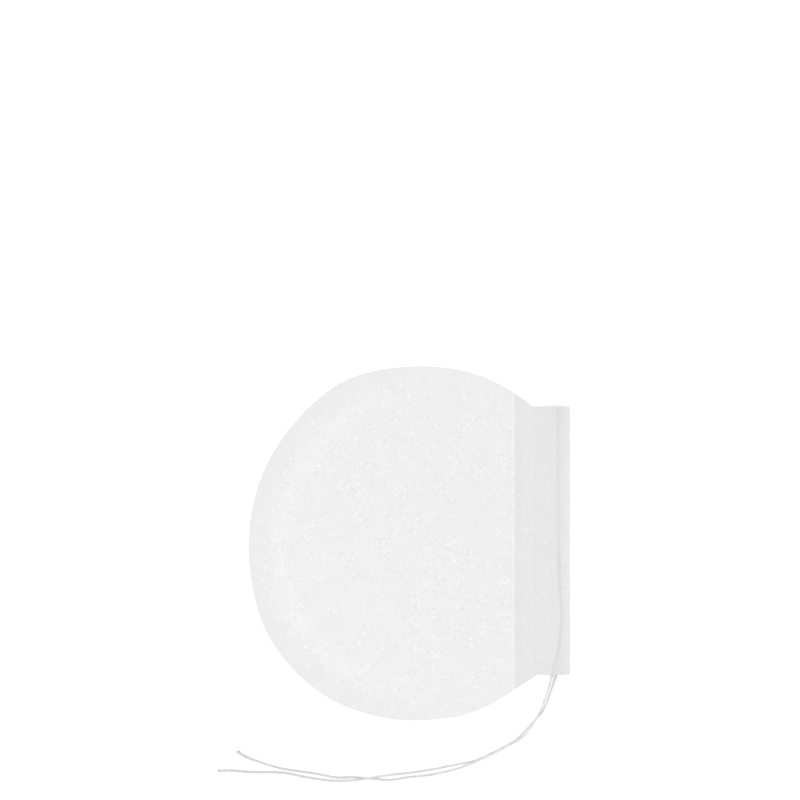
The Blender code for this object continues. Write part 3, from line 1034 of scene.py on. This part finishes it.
def filter_paper(name, near_strand, far_strand):
    """Undyed filter paper, seen as it lies on white: two layers on the disc, four on the hem.

    It is greyer where the layers add up, where the thread shows through the hem and in the pressed rim, which
    on the left side is painted shade too. It has painted shade along its cut edge and painted light where it
    comes over the flap's edge and towards the mouth fold, and long plant fibres show brighter on a soft
    mottled ground.
    """
    material = bpy.data.materials.new(name)
    material.use_nodes = True
    tree = material.node_tree
    shader = tree.nodes["Principled BSDF"]
    place = tree.nodes.new("ShaderNodeTexCoord").outputs["Object"]
    split = tree.nodes.new("ShaderNodeSeparateXYZ")
    tree.links.new(place, split.inputs["Vector"])
    x = maths(tree, "DIVIDE", split.outputs["X"], MM)
    y = maths(tree, "DIVIDE", split.outputs["Y"], MM)
    rim = attribute(tree, "rim")
    hem = from_line(tree, x, raw_edge_x / MM, HEM_START)
    taken = light_taken(tree, x, y, rim, hem, near_strand, far_strand)
    texture, height = paper_texture(tree, place, rim, hem)

    brightness = plus(tree, minus(tree, PAPER_WHITE, taken), texture)
    colour = tree.nodes.new("ShaderNodeCombineColor")
    tree.links.new(brightness, colour.inputs["Red"])
    tree.links.new(brightness, colour.inputs["Green"])
    tree.links.new(times(tree, brightness, BLUE_TINT), colour.inputs["Blue"])
    tree.links.new(colour.outputs["Color"], shader.inputs["Base Color"])
    shader.inputs["Roughness"].default_value = 0.85
    shader.inputs["Specular IOR Level"].default_value = 0.2
    shader.inputs["Sheen Weight"].default_value = 0.08
    shader.inputs["Sheen Roughness"].default_value = 0.5
    tree.links.new(bump(tree, height, PAPER_RELIEF), shader.inputs["Normal"])
    return material


CUT_EDGE_ANGLE = math.radians(35)


def dress(piece, material):
    """Give the piece its material, and smooth shading up to its cut edges."""
    piece.data.materials.clear()
    piece.data.materials.append(material)
    piece.data.shade_smooth()
    piece.data.set_sharp_from_angle(angle=CUT_EDGE_ANGLE)


flap_top = 2 * PAPER + LAYER_GAP
back_view = [
    *spread_out((web_start, 0.0), (mouth_x - FOLD_REACH, 0.0)),
    *fold(0.0, back_ridge),
    *spread_out((mouth_x - FOLD_REACH, back_ridge), (mouth_x - STRING_ZONE, back_ridge))[1:],
    *rise(flap_top, back_ridge)[::-1],
    *spread_out((bond_x, flap_top), (raw_edge_x, flap_top))[1:],
    (raw_edge_x, flap_top),
]
back_paper = web("back_paper", back_view, False)
cut(back_paper, die(), "INTERSECT")
cut(back_paper, turn_slot(), "DIFFERENCE")
mark(back_paper)
settle(back_paper, lambda x, y: 0.0)
dress(back_paper, filter_paper("filter_paper_back", "from_back_strand", "from_front_strand"))
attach(back_paper, "root")
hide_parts("back_panel")

# Front sheet
# The same paper and the same cut, sealed to the back sheet round the rim. It comes up over both flaps,
# and its own mouth edge is turned down and under the thread.
RAMP = 1.6 * MM  # along the sheet, over which it comes up over the flaps
RAMP_STEPS = 8

rim_top = 2 * PAPER + LAYER_GAP
bonded_z = flap_top + LAYER_GAP
band_top = bonded_z + 2 * PAPER + LAYER_GAP
front_floor = back_ridge + LAYER_GAP

front_view = [
    *spread_out((web_start, rim_top), (raw_edge_x - RAMP, rim_top)),
    *[
        (raw_edge_x - RAMP + RAMP * i / RAMP_STEPS, rim_top + (band_top - rim_top) * eased(i / RAMP_STEPS))
        for i in range(RAMP_STEPS)
    ],
    *spread_out((raw_edge_x, band_top), (bond_x, band_top)),
    *rise(band_top, front_ridge),
    *spread_out((mouth_x - STRING_ZONE, front_ridge), (mouth_x - FOLD_REACH, front_ridge))[1:],
    *fold(front_floor, front_ridge)[::-1],
    *spread_out((mouth_x - FOLD_REACH, front_floor), (mouth_x - STRING_ZONE, front_floor))[1:],
    *rise(bonded_z, front_floor)[::-1],
    *spread_out((bond_x, bonded_z), (raw_edge_x, bonded_z))[1:],
    (raw_edge_x, bonded_z),
]
front_paper = web("front_paper", front_view, True)
cut(front_paper, die(), "INTERSECT")
cut(front_paper, turn_slot(), "DIFFERENCE")
mark(front_paper)
settle(front_paper, lambda x, y: pillow(x, y) + pucker(x, y))
dress(front_paper, filter_paper("filter_paper_front", "from_front_strand", "from_back_strand"))
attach(front_paper, "root")
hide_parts("front_panel")

# Table and light
# A seamless white table under an even dome of light, with one large soft lamp from the lower left.
TABLE_HALF = 2.0
TABLE_WHITE = 0.9
TABLE_GLOW = 0.36  # what brings the table up to white for the camera alone
DOME = 0.88
LAMP_PLACE = Vector((-0.45, -0.4, 0.9))
LAMP_SIZE = 0.7
LAMP_POWER = 1.7

shape = bmesh.new()
bmesh.ops.create_grid(shape, x_segments=1, y_segments=1, size=TABLE_HALF)
table_mesh = bpy.data.meshes.new("table")
shape.to_mesh(table_mesh)
shape.free()
table = bpy.data.objects.new("table", table_mesh)
bpy.context.scene.collection.objects.link(table)

table_finish = bpy.data.materials.new("white_table")
table_finish.use_nodes = True
tree = table_finish.node_tree
shader = tree.nodes["Principled BSDF"]
shader.inputs["Base Color"].default_value = (TABLE_WHITE, TABLE_WHITE, TABLE_WHITE, 1)
shader.inputs["Roughness"].default_value = 1.0
shader.inputs["Specular IOR Level"].default_value = 0.0
shader.inputs["Emission Color"].default_value = (1, 1, 1, 1)
sight = tree.nodes.new("ShaderNodeLightPath")
glow = times(tree, sight.outputs["Is Camera Ray"], TABLE_GLOW)
tree.links.new(glow, shader.inputs["Emission Strength"])
table_mesh.materials.append(table_finish)

world = bpy.data.worlds.new("dome")
bpy.context.scene.world = world
world.use_nodes = True
tree = world.node_tree
background = tree.nodes["Background"]
background.inputs["Color"].default_value = (1, 1, 1, 1)
sight = tree.nodes.new("ShaderNodeLightPath")
seen = times(tree, sight.outputs["Is Camera Ray"], 1 - DOME)
tree.links.new(plus(tree, seen, DOME), background.inputs["Strength"])

lamp_data = bpy.data.lights.new("soft_lamp", "AREA")
lamp_data.shape = "DISK"
lamp_data.size = LAMP_SIZE
lamp_data.energy = LAMP_POWER
lamp = bpy.data.objects.new("soft_lamp", lamp_data)
lamp.matrix_world = Matrix.Translation(LAMP_PLACE) @ LAMP_PLACE.to_track_quat("Z", "Y").to_matrix().to_4x4()
bpy.context.scene.collection.objects.link(lamp)

bpy.context.scene.view_settings.view_transform = "Standard"
